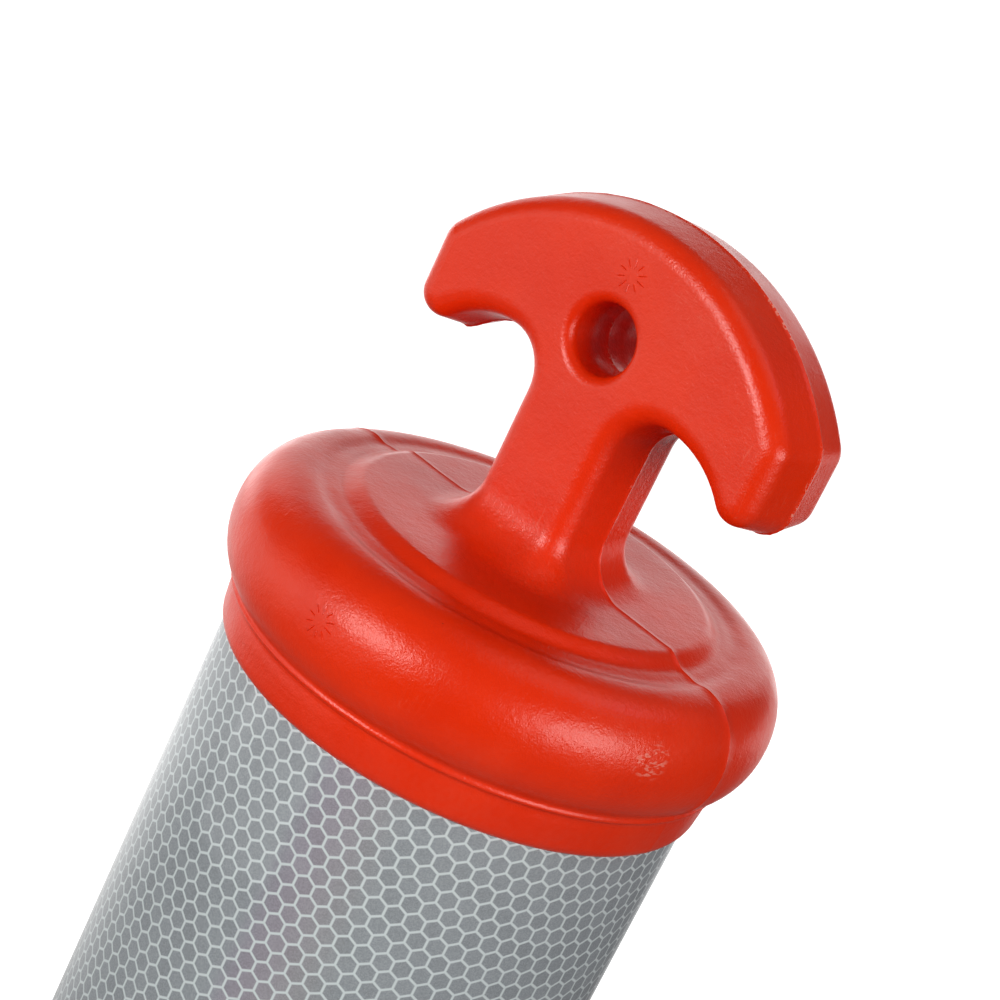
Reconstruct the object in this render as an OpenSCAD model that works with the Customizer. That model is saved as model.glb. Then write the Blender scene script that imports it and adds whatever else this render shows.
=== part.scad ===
// Traffic delineator post: a hollow blow-moulded tube with a T-handle, wrapped in
// two retroreflective bands, standing in a heavy rubber ring that drops over its top.
// Millimetres, +Z up the post, origin on the ground under its axis, handle along X.

/* [Post] */
// Height from the ground to the top of the handle
post_h = 1067; // [900:1:1300]
// Radius of the tube where no band covers it
tube_r = 52.3; // [44:0.1:53]
// Thickness of the moulded wall
wall = 3; // [2:0.1:3.4]

/* [Bands] */
// Height of each retroreflective band
band_h = 152.4; // [100:0.1:190]
// Thickness of the sheeting
sheet_t = 0.4; // [0.2:0.05:0.6]
// Layer of adhesive under the sheeting
glue_t = 0.05; // [0.02:0.01:0.1]
// How far the sheeting's face lies below the bare tube, so that rubbing spares it
band_sunk = 1.5; // [0.8:0.1:2.5]
// Bare tube between the upper and the lower band
band_gap = 101.6; // [60:0.1:150]
// Length over which the two ends of a band lie on each other
lap_w = 12; // [6:1:25]
// Where the lap lies, seen from above, from the handle's right arm
lap_angle = 115; // [90:1:150]

/* [Flange under the handle] */
// Radius of the flange
flange_r = 58; // [56:0.1:60]
// Height of the flange's rounded rim
flange_h = 26.4; // [22:0.1:30]
// Width of the rim's rounded section, measured along the radius
flange_w = 22; // [18:0.1:24]
// Squareness of the rim's section, where 2 is an ellipse
flange_square = 2.1; // [2:0.1:2.6]
// Bare collar between the upper band and the flange
collar_h = 8.8; // [5:0.1:12]
// Radius of the raised flat disc on top
disc_r = 38.5; // [34:0.1:40]
// Height of the disc above the flange's shoulder
disc_rise = 2; // [1:0.1:3]

/* [Handle] */
// Height of the handle above the disc
handle_rise = 71.25; // [66:0.05:80]
// Width of the handle over its two hooked ends
handle_w = 91.8; // [88:0.1:100]
// Thickness of the handle, front to back
handle_t = 25.4; // [22:0.1:30]
// Radius of the handle's arched top
handle_arch_r = 57.15; // [54:0.05:70]
// Half the width of the neck, at the mould's parting line
neck_half = 13; // [11:0.1:14]
// Radius of the finger arch beside the neck
finger_r = 7.5; // [7:0.1:9]
// Height of the finger arch above the disc
finger_rise = 36.9; // [34:0.1:38]
// Height of the hooked end's lowest point above the disc
hook_rise = 28.85; // [27:0.05:31]
// Radius of the hooked end's lower inner corner
hook_r = 6.4; // [6:0.1:7]
// Radius of the hooked end's lower outer corner
hook_corner_r = 6.3; // [6:0.1:7.5]
// Radius of the hooked end's upper outer corner
shoulder_r = 7; // [6.5:0.1:12]
// Rounding of the handle's front and back edges
edge_r = 4.5; // [3:0.1:4.6]
// How much narrower the front and back are than the parting line, for mould draft
draft = 1.2; // [0.6:0.1:1.3]
// Fillet between the neck and the disc
neck_fillet = 10; // [6:0.5:12]

/* [Hole in the handle] */
// Radius of the hole
hole_r = 7; // [5:0.1:8]
// Height of the hole's centre below the handle's top
hole_drop = 25.05; // [22:0.05:28]
// Rounding of the hole's two mouths
hole_mouth_r = 2.5; // [1:0.1:3]

/* [Foot] */
// Width of the octagonal foot, across its flats
foot_af = 160; // [140:1:170]
// Thickness of the foot's octagonal plate
foot_h = 14; // [12:1:18]
// Height of the slope above that plate
foot_slope_h = 9; // [6:1:12]
// Depth of the hollow under the foot
foot_hollow = 5; // [3:0.5:7]
// Radius of that hollow
foot_hollow_r = 45; // [35:1:48]
// Radius of the blow-pin hole in the foot
vent_r = 5; // [3:0.5:8]

/* [Rubber base] */
// Width of the base, across its flats
base_af = 380; // [350:1:450]
// Height of the base's top face above the ground
base_h = 52; // [46:1:70]
// Height of the hub above the top face
hub_rise = 12; // [6:1:20]
// Radius of the hub
hub_r = 92; // [88:1:98]
// Bevel round the base's top edge
base_bevel = 9; // [4:1:14]
// How much wider the base is at the ground than under its bevel, per side
base_draft = 6; // [2:1:10]
// Radial room between the hub's bore and the flange that passes through it
drop_clear = 2.5; // [1.5:0.1:5]
// Radial room between the hub's bore and the post's seat
seat_clear = 0.6; // [0.3:0.1:1.2]
// Room round the foot in its pocket
pocket_clear = 1; // [0.5:0.1:2]
// Height of the pads that the base stands on
pad_h = 3; // [2:0.5:6]
// Radius of each pad
pad_r = 14; // [8:1:18]
// Width of each hand slot, along the base's radius
slot_w = 32; // [28:1:36]
// Length of each hand slot
slot_l = 112; // [90:1:120]
// Distance from the base's axis to the middle of a hand slot
slot_at = 140; // [136:1:142]
// Height of the tread bars on the top face
tread_h = 2.5; // [1:0.5:4]
// Width of each tread bar
tread_w = 7; // [5:0.5:9]

/* [Hidden] */

PLASTIC = [0.90, 0.24, 0.07];
SHEETING = [0.62, 0.64, 0.66];
RUBBER = [0.09, 0.09, 0.095];

$fn = 96;

// Octagons turned so that flats face along X and Y.
OCT_TURN = 22.5;
SIDES = 8;

// The head, from the ground up.
disc_z = post_h - handle_rise;
flange_z = disc_z - disc_rise - flange_h / 2;
flange_mid_r = flange_r - flange_w / 2;
band_top_z = flange_z - flange_h / 2 - collar_h;
hole_z = post_h - hole_drop;
lower_band_top_z = band_top_z - band_h - band_gap;

// The panels that the bands lie in.
panel_r = tube_r - band_sunk - sheet_t - glue_t;
lip_h = 3;
lip_steps = 4;
rim_steps = 20;

// The base's bore and the seat that fills it.
bore_r = flange_r + drop_clear;
seat_r = bore_r - seat_clear;
hub_top_z = base_h + hub_rise;
seat_top_z = hub_top_z + 4;
seat_taper = 34;
foot_cone_r = foot_af / 2 - 4;

// Points on an arc about c, from angle a0 to a1.
function arc(c, r, a0, a1, n) =
    [for (i = [0 : n]) let (a = a0 + (a1 - a0) * i / n) [c.x + r * cos(a), c.y + r * sin(a)]];

// One coordinate of a squared ellipse.
function squared(size, part) = size * sign(part) * pow(abs(part), 2 / flange_square);

// The flange's rim, from its top round to where it meets the tube, t mm inside its surface.
function rim(t) =
    let (
        half_w = flange_w / 2 - t,
        half_h = flange_h / 2 - t,
        share = (tube_r - t - flange_mid_r) / half_w,
        meet = acos(sign(share) * pow(abs(share), flange_square / 2))
    )
    [for (i = [0 : rim_steps]) let (a = 90 - (90 + meet) * i / rim_steps)
        [flange_mid_r + squared(half_w, cos(a)), flange_z + squared(half_h, sin(a))]];

// A panel sunk in the tube, with a rounded lip at both ends, t mm inside the surface.
function panel(top_z, t) =
    let (depth = tube_r - panel_r)
    concat(
        [for (i = [0 : lip_steps]) let (a = 90 * i / lip_steps)
            [tube_r - t - depth * (1 - cos(a)), top_z + lip_h * (1 - sin(a))]],
        [for (i = [lip_steps : -1 : 0]) let (a = 90 * i / lip_steps)
            [tube_r - t - depth * (1 - cos(a)), top_z - band_h - lip_h * (1 - sin(a))]]
    );

// Half of the post's turned outline below the handle, t mm inside its surface.
function post_outline(t) = concat(
    [
        [0, disc_z - t],
        [disc_r - t / 2, disc_z - t],
        [disc_r + 2 - t / 2, disc_z - 0.6 - t],
        [disc_r + 4 - t / 2, disc_z - disc_rise - t]
    ],
    rim(t),
    panel(band_top_z, t),
    panel(lower_band_top_z, t),
    [
        [tube_r - t, seat_top_z + seat_taper],
        [seat_r - t, seat_top_z],
        [seat_r - t, foot_h + foot_slope_h],
        [foot_cone_r - t, foot_h],
        [foot_cone_r - t, t],
        [0, t]
    ]
);

// Centres of the handle's arcs, in the plane of the handle.
arch_c = [0, post_h - handle_arch_r];
hook_corner_c = [handle_w / 2 - hook_corner_r, disc_z + hook_rise + hook_corner_r];
hook_c = [hook_corner_c.x - 0.15, disc_z + hook_rise + hook_r];
finger_c = [neck_half + finger_r, disc_z + finger_rise - finger_r];
// The long arc from the top of the finger arch, which runs out tangent to the hook's corner.
sweep_run = hook_c.x - finger_c.x;
sweep_drop = disc_z + finger_rise - hook_c.y;
sweep_r = (pow(sweep_run, 2) + pow(sweep_drop, 2) - pow(hook_r, 2)) / (2 * (hook_r + sweep_drop));
sweep_c = [finger_c.x, disc_z + finger_rise - sweep_r];
roll = atan2(hook_c.y - sweep_c.y, sweep_run);
shoulder_x = handle_w / 2 - shoulder_r;
shoulder_reach = handle_arch_r - shoulder_r;
shoulder_c = [shoulder_x, arch_c.y + sqrt(pow(shoulder_reach, 2) - pow(shoulder_x, 2))];
shoulder_a = atan2(shoulder_c.y - arch_c.y, shoulder_x);

// Right half of the handle's outline, from the neck's foot at foot_z to the middle of the
// arch, t mm inside the parting line.
function half_handle(t, foot_z) = concat(
    [[neck_half - t, foot_z]],
    arc(finger_c, finger_r + t, 180, 90, 6),
    arc(sweep_c, sweep_r + t, 84, roll, 7),
    arc(hook_c, hook_r - t, 180 + roll, 270, 5),
    arc(hook_corner_c, hook_corner_r - t, 270, 360, 6),
    arc(shoulder_c, shoulder_r - t, 0, shoulder_a, 4),
    arc(arch_c, handle_arch_r - t, shoulder_a + 3, 90, 10)
);

// The whole outline: the right half, then its mirror image back down to the neck.
function handle_outline(t, foot_z) =
    let (right = half_handle(t, foot_z), last = len(right) - 2)
    concat(right, [for (i = [last : -1 : 0]) [-right[i].x, right[i].y]]);

// Layers of the handle from the parting line to its face: [distance from the line, inset].
edge_steps = 4;
half_layers = concat(
    [[0, 0]],
    [for (i = [0 : edge_steps]) let (a = 90 * i / edge_steps)
        [handle_t / 2 - edge_r * (1 - sin(a)), draft + edge_r * (1 - cos(a))]]
);
layer_count = len(half_layers);
layers = concat(
    [for (i = [layer_count - 1 : -1 : 1]) [-half_layers[i][0], half_layers[i][1]]],
    half_layers
);

// Faces that join rings of n points, one ring after another, with both ends closed.
function ring_faces(n, rings) = concat(
    [[for (i = [0 : n - 1]) i]],
    [for (k = [0 : rings - 2]) for (i = [0 : n - 1])
        let (j = (i + 1) % n)
        [k * n + i, (k + 1) * n + j, k * n + j]],
    [for (k = [0 : rings - 2]) for (i = [0 : n - 1])
        let (j = (i + 1) % n)
        [k * n + i, (k + 1) * n + i, (k + 1) * n + j]],
    [[for (i = [n - 1 : -1 : 0]) (rings - 1) * n + i]]
);

// The T of the handle, with its drafted sides and rounded edges.
module handle_block() {
    foot_z = disc_z + neck_fillet;
    size = len(handle_outline(0, foot_z));
    points = [for (layer = layers) for (p = handle_outline(layer[1], foot_z)) [p.x, -layer[0], p.y]];
    polyhedron(points, ring_faces(size, len(layers)));
}

// Quarter of the neck's section, grown outwards by g: [x, y].
function neck_quarter(g) = concat(
    [[neck_half + g, 0]],
    [for (i = [0 : edge_steps]) let (a = 90 * i / edge_steps)
        [
            neck_half - draft - edge_r * (1 - cos(a)) + g * cos(a),
            handle_t / 2 - edge_r * (1 - sin(a)) + g * sin(a)
        ]]
);
function neck_ring(g) =
    let (quarter = neck_quarter(g), last = len(quarter) - 1)
    concat(
        quarter,
        [for (i = [last : -1 : 0]) [-quarter[i].x, quarter[i].y]],
        [for (i = [1 : last]) [-quarter[i].x, -quarter[i].y]],
        [for (i = [last : -1 : 1]) [quarter[i].x, -quarter[i].y]]
    );

// The fillet where the neck grows out of the disc. Its top meets the handle's flat foot.
fillet_steps = 6;
function fillet_grow(rise) =
    neck_fillet - sqrt(pow(neck_fillet, 2) - pow(neck_fillet - rise, 2));
module neck_foot() {
    rises = [for (i = [0 : fillet_steps]) neck_fillet * (1 - cos(90 * i / fillet_steps))];
    grown = [for (rise = rises) [disc_z + rise, fillet_grow(rise)]];
    levels = concat(
        [[disc_z - wall / 2, neck_fillet]],
        grown
    );
    size = len(neck_ring(0));
    points = [for (level = levels) for (p = neck_ring(level[1])) [p.x, p.y, level[0]]];
    polyhedron(points, ring_faces(size, len(levels)));
}

// The hole through the handle: a straight bore with a rounded mouth at each face.
module handle_hole() {
    reach = handle_t / 2;
    translate([0, 0, hole_z])
        rotate([90, 0, 0])
            rotate_extrude()
                polygon(concat(
                    [[0, -reach - 1], [hole_r + hole_mouth_r, -reach - 1]],
                    arc([hole_r + hole_mouth_r, -reach + hole_mouth_r], hole_mouth_r, 270, 180, 5),
                    arc([hole_r + hole_mouth_r, reach - hole_mouth_r], hole_mouth_r, 180, 90, 5),
                    [[hole_r + hole_mouth_r, reach + 1], [0, reach + 1]]
                ));
}

// An octagonal plate, af mm across its flats.
module octagon(af, h) {
    rotate([0, 0, OCT_TURN])
        cylinder(h = h, r = af / 2 / cos(180 / SIDES), $fn = SIDES);
}

// The air inside the shell. A wall is left round the handle's hole.
module post_air() {
    face_inset = wall + draft;
    difference() {
        union() {
            rotate_extrude() polygon(post_outline(wall));
            rotate([90, 0, 0])
                linear_extrude(height = handle_t - 2 * wall, center = true)
                    polygon(handle_outline(face_inset, disc_z - 2 * wall));
            translate([0, 0, wall])
                octagon(foot_af - 2 * wall, foot_h - 2 * wall);
        }
        translate([0, 0, hole_z])
            rotate([90, 0, 0])
                cylinder(h = handle_t, r = hole_r + wall, center = true);
        cylinder(h = foot_hollow + wall, r = foot_hollow_r + wall);
    }
}

module post_shell() {
    color(PLASTIC)
        difference() {
            union() {
                rotate_extrude() polygon(post_outline(0));
                octagon(foot_af, foot_h);
                neck_foot();
                handle_block();
            }
            post_air();
            handle_hole();
            translate([0, 0, -1])
                cylinder(h = foot_hollow + 1, r = foot_hollow_r);
            cylinder(h = foot_hollow + 2 * wall, r = vent_r);
        }
}

// One strip of sheeting, wrapped once round its panel with its end lying on its start.
module band(top_z) {
    inner = panel_r + glue_t;
    outer = inner + sheet_t;
    half_lap = lap_w / inner * 90 / PI;
    reach = 2 * outer;
    translate([0, 0, top_z - band_h])
        linear_extrude(height = band_h)
            difference() {
                union() {
                    circle(r = outer);
                    rotate(lap_angle)
                        intersection() {
                            circle(r = outer + sheet_t);
                            polygon([
                                [0, 0],
                                [reach * cos(half_lap), -reach * sin(half_lap)],
                                [reach * cos(half_lap), reach * sin(half_lap)]
                            ]);
                        }
                }
                circle(r = inner);
            }
}

module upper_band() {
    color(SHEETING) band(band_top_z);
}

module lower_band() {
    color(SHEETING) band(lower_band_top_z);
}

// The base's block: a drafted octagon with a bevelled top edge.
module base_block() {
    corner = 1 / cos(180 / SIDES);
    top_r = (base_af / 2 - base_draft) * corner;
    bevel_z = base_h - base_bevel;
    rotate([0, 0, OCT_TURN]) {
        translate([0, 0, pad_h])
            cylinder(h = bevel_z - pad_h, r1 = base_af / 2 * corner, r2 = top_r, $fn = SIDES);
        translate([0, 0, bevel_z])
            cylinder(h = base_bevel, r1 = top_r, r2 = top_r - base_bevel * corner, $fn = SIDES);
    }
}

// A round-ended hand slot, right through the base.
module hand_slot() {
    straight = slot_l - slot_w;
    translate([slot_at, 0, -1])
        linear_extrude(height = base_h + 2) {
            square([slot_w, straight], center = true);
            for (end = [-1, 1])
                translate([0, end * straight / 2])
                    circle(d = slot_w);
        }
}

// Tread bars beside one flat of the base, the outer ones longer.
module tread() {
    pitch = 2 * tread_w;
    first = hub_r + pitch;
    last = base_af / 2 - base_draft - base_bevel - pitch;
    for (at = [first : pitch : last])
        translate([at, -at * 0.3, base_h - 1])
            cube([tread_w, at * 0.6, tread_h + 1]);
}

module rubber_base() {
    pad_at = base_af / 2 - pad_r - base_draft;
    color(RUBBER)
        difference() {
            union() {
                base_block();
                cylinder(h = hub_top_z - base_bevel / 2, r = hub_r);
                translate([0, 0, hub_top_z - base_bevel / 2])
                    cylinder(h = base_bevel / 2, r1 = hub_r, r2 = hub_r - base_bevel / 2);
                for (i = [0 : SIDES - 1])
                    rotate([0, 0, OCT_TURN + i * 360 / SIDES])
                        translate([pad_at, 0, 0])
                            cylinder(h = pad_h + 1, r = pad_r);
                for (i = [1, 2, 3, 5, 6, 7])
                    rotate([0, 0, i * 360 / SIDES])
                        tread();
            }
            translate([0, 0, -1])
                cylinder(h = hub_top_z + 2, r = bore_r);
            translate([0, 0, hub_top_z - 3])
                cylinder(h = 4, r1 = bore_r, r2 = bore_r + 4);
            translate([0, 0, -1])
                octagon(foot_af + 2 * pocket_clear, foot_h + pocket_clear + 1);
            translate([0, 0, foot_h])
                cylinder(h = foot_slope_h + 2 * pocket_clear, r1 = foot_cone_r + 2 * pocket_clear, r2 = bore_r);
            for (side = [0, 180])
                rotate([0, 0, side])
                    hand_slot();
            translate([0, 0, -1])
                cylinder(h = pad_h + 1, r = hub_r);
        }
}

post_shell();
upper_band();
lower_band();
rubber_base();
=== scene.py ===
# %% [markdown]
# # A traffic delineator post
# This lesson dresses a roadside post: a hollow moulded tube with a T-shaped handle, two
# bands of reflective sheeting, and a heavy rubber ring that keeps it upright. The first
# cell loads the measured frame, so that every piece can be placed by its real size.

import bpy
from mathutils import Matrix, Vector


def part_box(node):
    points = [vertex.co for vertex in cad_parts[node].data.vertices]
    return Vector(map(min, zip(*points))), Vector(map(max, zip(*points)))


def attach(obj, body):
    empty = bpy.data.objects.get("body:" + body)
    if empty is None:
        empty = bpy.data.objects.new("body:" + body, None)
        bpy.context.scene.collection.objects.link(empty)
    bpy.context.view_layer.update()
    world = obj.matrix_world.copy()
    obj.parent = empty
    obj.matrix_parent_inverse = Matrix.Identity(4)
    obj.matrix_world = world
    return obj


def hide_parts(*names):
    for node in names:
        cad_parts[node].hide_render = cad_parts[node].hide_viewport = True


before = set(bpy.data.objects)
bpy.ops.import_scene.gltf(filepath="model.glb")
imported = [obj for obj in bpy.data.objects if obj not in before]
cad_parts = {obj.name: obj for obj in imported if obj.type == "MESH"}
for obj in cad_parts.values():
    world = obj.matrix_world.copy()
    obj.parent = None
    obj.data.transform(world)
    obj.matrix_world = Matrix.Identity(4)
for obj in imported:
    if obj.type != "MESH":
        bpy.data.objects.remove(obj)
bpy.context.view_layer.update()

# %% The modules used below
import math
import bmesh
import bpy
from mathutils import Matrix, Vector, noise
from mathutils.bvhtree import BVHTree

# %% [markdown]
# ## Sizes
# The shapes are drawn in millimetres, which suits a part of this size, and each finished
# mesh is scaled to metres once. Heights that the frame gives are read from it, and the
# rest are the maker's own sizes, such as the radius of a rounded edge.

# %% Sizes read from the frame, in millimetres
MM = 0.001
post_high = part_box("post_shell")[1]
band_low, band_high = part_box("upper_band")
lower_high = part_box("lower_band")[1]

POST_TOP = post_high.z / MM
FOOT_HALF = post_high.x / MM
BAND_TOP = band_high.z / MM
BAND_HEIGHT = (band_high.z - band_low.z) / MM
LOWER_TOP = lower_high.z / MM
print(f"post {POST_TOP:.1f} mm high, bands {BAND_HEIGHT:.1f} mm, foot {2 * FOOT_HALF:.1f} mm wide")

# %% Sizes of the head and the tube, in millimetres
DISC_Z = POST_TOP - 71.25
FLANGE_Z = DISC_Z - 15.2
RIM_MID_R = 47
RIM_HALF_W = 11
RIM_HALF_H = 13.2
RIM_SQUARE = 2.1
TUBE_R = 52.3
PANEL_R = 50.35
LIP_H = 3
SEAT_R = 59.9
SEAT_TOP = 68
TAPER_TOP = 102
FOOT_CONE_R = 76
INSIDE_R = 47
HALF_STEPS = 64

# %% [markdown]
# ## Drawing a profile
# A lathe shape starts as a line drawn in the X-Z plane. Extruding the last vertex draws
# the line on, and spinning it round a centre draws an arc, so that a profile is told as a
# maker would tell it: so far out, round this radius, so far down.

# %% Profile helpers
def start_line(bm, x, z):
    """The first vertex of a profile."""
    return bmesh.ops.create_vert(bm, co=(x, 0, z))["vert"][0]


def line_to(bm, tip, x, z):
    """Draws a straight line on from the tip, and returns the new tip."""
    tip = bmesh.ops.extrude_vert_indiv(bm, verts=[tip])["verts"][0]
    tip.co = (x, 0, z)
    return tip


def arc_about(bm, tip, x, z, degrees, steps):
    """Spins the tip round a centre, anticlockwise seen from the front, and returns the new tip."""
    centre = Vector((x, 0, z))
    turn = Matrix.Rotation(math.radians(-degrees / steps), 3, "Y")
    for _ in range(steps):
        tip = bmesh.ops.extrude_vert_indiv(bm, verts=[tip])["verts"][0]
        bmesh.ops.rotate(bm, verts=[tip], cent=centre, matrix=turn)
    return tip


def ease_to(bm, tip, dx, dz, steps):
    """Draws a soft S-bend on from the tip, level at both ends, and returns the new tip."""
    x, z = tip.co.x, tip.co.z
    for i in range(1, steps + 1):
        share = i / steps
        tip = line_to(bm, tip, x + dx * share, z + dz * share * share * (3 - 2 * share))
    return tip


def open_edges(bm, test):
    """The border edges whose two ends both pass a test of their position."""
    return [e for e in bm.edges if len(e.link_faces) == 1 and all(test(v.co) for v in e.verts)]


# %% [markdown]
# ## The body of the post
# The tube is blow moulded: hot plastic is pressed against the inside of a steel mould, so
# every corner outside is rounded and the wall behind it is hollow. It is a lathe shape
# below the handle. The profile runs from the flat disc under the handle, over the valley,
# the rim, the thin bead and the collar, down the two panels that the bands lie in, to the
# foot, and back up the inside. Only the front half is spun, because the mould has two
# halves and the back is its mirror image.

# %% Draw the head's part of the profile
NECK_RING_R = 30
RIM_END_R = 52.7
BEAD_TOP = FLANGE_Z - 11.3
BEAD_LOW = FLANGE_Z - 13.1
BEAD_OUT = 1.6
CREASE_PASSES = 5


def squared(size, part):
    """One coordinate of a slightly squared ellipse."""
    return size * math.copysign(abs(part) ** (2 / RIM_SQUARE), part)


def draw_head(bm):
    """The disc, the valley round it and the rim."""
    tip = start_line(bm, NECK_RING_R, DISC_Z)
    tip = line_to(bm, tip, 33, DISC_Z)
    tip = line_to(bm, tip, 36.2, DISC_Z)
    tip = ease_to(bm, tip, 5.0, -2.1, 12)
    tip = ease_to(bm, tip, 2.9, -0.3, 5)
    tip = ease_to(bm, tip, 2.9, 0.4, 5)
    rim_steps = 34
    rim_end = math.acos(((RIM_END_R - RIM_MID_R) / RIM_HALF_W) ** (RIM_SQUARE / 2))
    for i in range(1, rim_steps + 1):
        angle = math.pi / 2 - (math.pi / 2 + rim_end) * i / rim_steps
        x = RIM_MID_R + squared(RIM_HALF_W, math.cos(angle))
        tip = line_to(bm, tip, x, FLANGE_Z + squared(RIM_HALF_H, math.sin(angle)))
    return tip


# %% Draw the collar, the panels and the tube
def draw_panel(bm, tip, top, height):
    """The rounded lip into a sunk panel, the panel, and the lip out of it."""
    depth = TUBE_R - PANEL_R
    for i in range(1, 7):
        angle = math.pi / 2 * i / 6
        tip = line_to(bm, tip, TUBE_R - depth * (1 - math.cos(angle)), top + LIP_H * (1 - math.sin(angle)))
    for i in range(1, 8):
        tip = line_to(bm, tip, PANEL_R, top - height * i / 8)
    for i in range(6, -1, -1):
        angle = math.pi / 2 * i / 6
        z = top - height - LIP_H * (1 - math.sin(angle))
        tip = line_to(bm, tip, TUBE_R - depth * (1 - math.cos(angle)), z)
    return tip


def draw_collar(bm, tip):
    """The raised bead under the rim and the slightly full collar below it."""
    middle = (BEAD_TOP + BEAD_LOW) / 2
    half = (BEAD_TOP - BEAD_LOW) / 2
    for i in range(0, 9):
        angle = math.pi / 4 + math.pi * 3 / 4 * i / 8
        tip = line_to(bm, tip, TUBE_R - 0.15 + BEAD_OUT * math.sin(angle), middle + half * math.cos(angle))
    for i in range(0, 5):
        share = i / 4
        z = BEAD_LOW - 0.35 - (BEAD_LOW - 0.35 - BAND_TOP - LIP_H) * share
        tip = line_to(bm, tip, TUBE_R + 0.35 * (1 - share * share), z)
    return tip


# %% Draw the foot and the inside
def draw_foot(bm, tip):
    """The tapered seat, the octagonal plate, the hollow under it and the wall's inner face."""
    for x, z in [(TUBE_R, 330), (TUBE_R, TAPER_TOP), (SEAT_R, SEAT_TOP), (SEAT_R, 24)]:
        tip = line_to(bm, tip, x, z)
    tip = line_to(bm, tip, FOOT_CONE_R, 14)
    tip = line_to(bm, tip, FOOT_HALF - 2, 14)
    tip = arc_about(bm, tip, FOOT_HALF - 2, 12, -90, 4)
    tip = line_to(bm, tip, FOOT_HALF, 1.5)
    tip = arc_about(bm, tip, FOOT_HALF - 1.5, 1.5, -90, 4)
    for x, z in [(46, 0), (45, 1), (45, 4.3), (44.3, 5), (6, 5), (5, 6), (5, 8)]:
        tip = line_to(bm, tip, x, z)
    for x, z in [(INSIDE_R, 8), (INSIDE_R, 500), (INSIDE_R, DISC_Z - 12), (40, DISC_Z - 7), (0, DISC_Z - 7)]:
        tip = line_to(bm, tip, x, z)
    return tip


def octagon_pull(angle):
    """How far out an octagon with softened corners lies, as a share of half its width."""
    sharp = 60
    total = sum(abs(math.cos(angle - k * math.pi / 4)) ** sharp for k in range(4))
    return total ** (-1 / sharp)


def make_body():
    """The front half of the post below its handle."""
    bm = bmesh.new()
    tip = draw_head(bm)
    tip = draw_collar(bm, tip)
    tip = draw_panel(bm, tip, BAND_TOP, BAND_HEIGHT)
    tip = draw_panel(bm, tip, LOWER_TOP, BAND_HEIGHT)
    draw_foot(bm, tip)
    creases = [v for v in bm.verts if BEAD_LOW - 1.5 < v.co.z < BEAD_TOP + 1.2 and v.co.x > INSIDE_R + 2]
    for _ in range(CREASE_PASSES):
        bmesh.ops.smooth_vert(bm, verts=creases, factor=0.5, use_axis_x=True, use_axis_z=True)
    bmesh.ops.spin(
        bm, geom=bm.verts[:] + bm.edges[:], cent=(0, 0, 0), axis=(0, 0, 1),
        angle=-math.pi, steps=HALF_STEPS, use_merge=False,
    )
    for vert in bm.verts:
        if vert.co.z < 14.01 and vert.co.xy.length > FOOT_CONE_R + 1:
            pull = octagon_pull(math.atan2(vert.co.y, vert.co.x))
            bmesh.ops.scale(bm, vec=(pull, pull, 1), verts=[vert])
    bmesh.ops.remove_doubles(bm, verts=bm.verts[:], dist=0.001)
    print("body half:", len(bm.verts), "vertices")
    return bm


# %% [markdown]
# ## The handle
# The handle is a T with two hooked ends, 25 mm thick, for a hand with or without a glove.
# Its outline is drawn once and filled, and then the face is inset again and again, each
# time a little further forward: first along the sloping draft that lets it leave the
# mould, then round the soft front edge. That is the quickest way to an even rounding that
# follows a curved outline.

# %% Sizes of the handle, in millimetres
HANDLE_HALF_T = 12.7
HANDLE_HALF_W = 45.9
ARCH_R = 57.15
NECK_HALF = 13
FINGER_R = 7.5
FINGER_RISE = 36.9
HOOK_RISE = 28.85
HOOK_R = 6.4
HOOK_CORNER_R = 6.3
SHOULDER_R = 7
EDGE_R = 4.5
FRONT_STEP = 0.05
DRAFT_SLOPE = math.atan(1.2 / 8.2)
NECK_FILLET = 10
HOLE_R = 7
HOLE_MOUTH_R = 2.5
HOLE_Z = POST_TOP - 25.05
SEAM_STEP = 0.4
SEAM_HEIGHT = 0.16
BURR_HEIGHT = 0.32


# %% Draw and fill the outline
def draw_handle_half(bm):
    """The right half of the handle's outline, from the neck's foot to the top of the arch."""
    arch_z = POST_TOP - ARCH_R - 1.5 * SEAM_HEIGHT
    corner = Vector((HANDLE_HALF_W - HOOK_CORNER_R, DISC_Z + HOOK_RISE + HOOK_CORNER_R))
    hook = Vector((corner.x, DISC_Z + HOOK_RISE + HOOK_R))
    finger = Vector((NECK_HALF + FINGER_R, DISC_Z + FINGER_RISE - FINGER_R))
    run, drop = hook.x - finger.x, DISC_Z + FINGER_RISE - hook.y
    sweep_r = (run**2 + drop**2 - HOOK_R**2) / (2 * (HOOK_R + drop))
    sweep_z = DISC_Z + FINGER_RISE - sweep_r
    roll = math.degrees(math.atan2(hook.y - sweep_z, run))
    reach = ARCH_R - SHOULDER_R
    shoulder = Vector((HANDLE_HALF_W - SHOULDER_R, 0))
    shoulder.y = arch_z + math.sqrt(reach**2 - shoulder.x**2)
    lean = math.degrees(math.atan2(shoulder.y - arch_z, shoulder.x))
    tip = start_line(bm, NECK_HALF, DISC_Z - 2)
    tip = line_to(bm, tip, NECK_HALF, finger.y)
    tip = arc_about(bm, tip, finger.x, finger.y, -90, 10)
    tip = arc_about(bm, tip, finger.x, sweep_z, roll - 90, 10)
    tip = arc_about(bm, tip, hook.x, hook.y, 90 - roll, 6)
    tip = arc_about(bm, tip, corner.x, corner.y, 90, 14)
    tip = line_to(bm, tip, HANDLE_HALF_W, shoulder.y)
    tip = arc_about(bm, tip, shoulder.x, shoulder.y, lean, 7)
    return arc_about(bm, tip, 0, arch_z, 90 - lean, 26)


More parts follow.
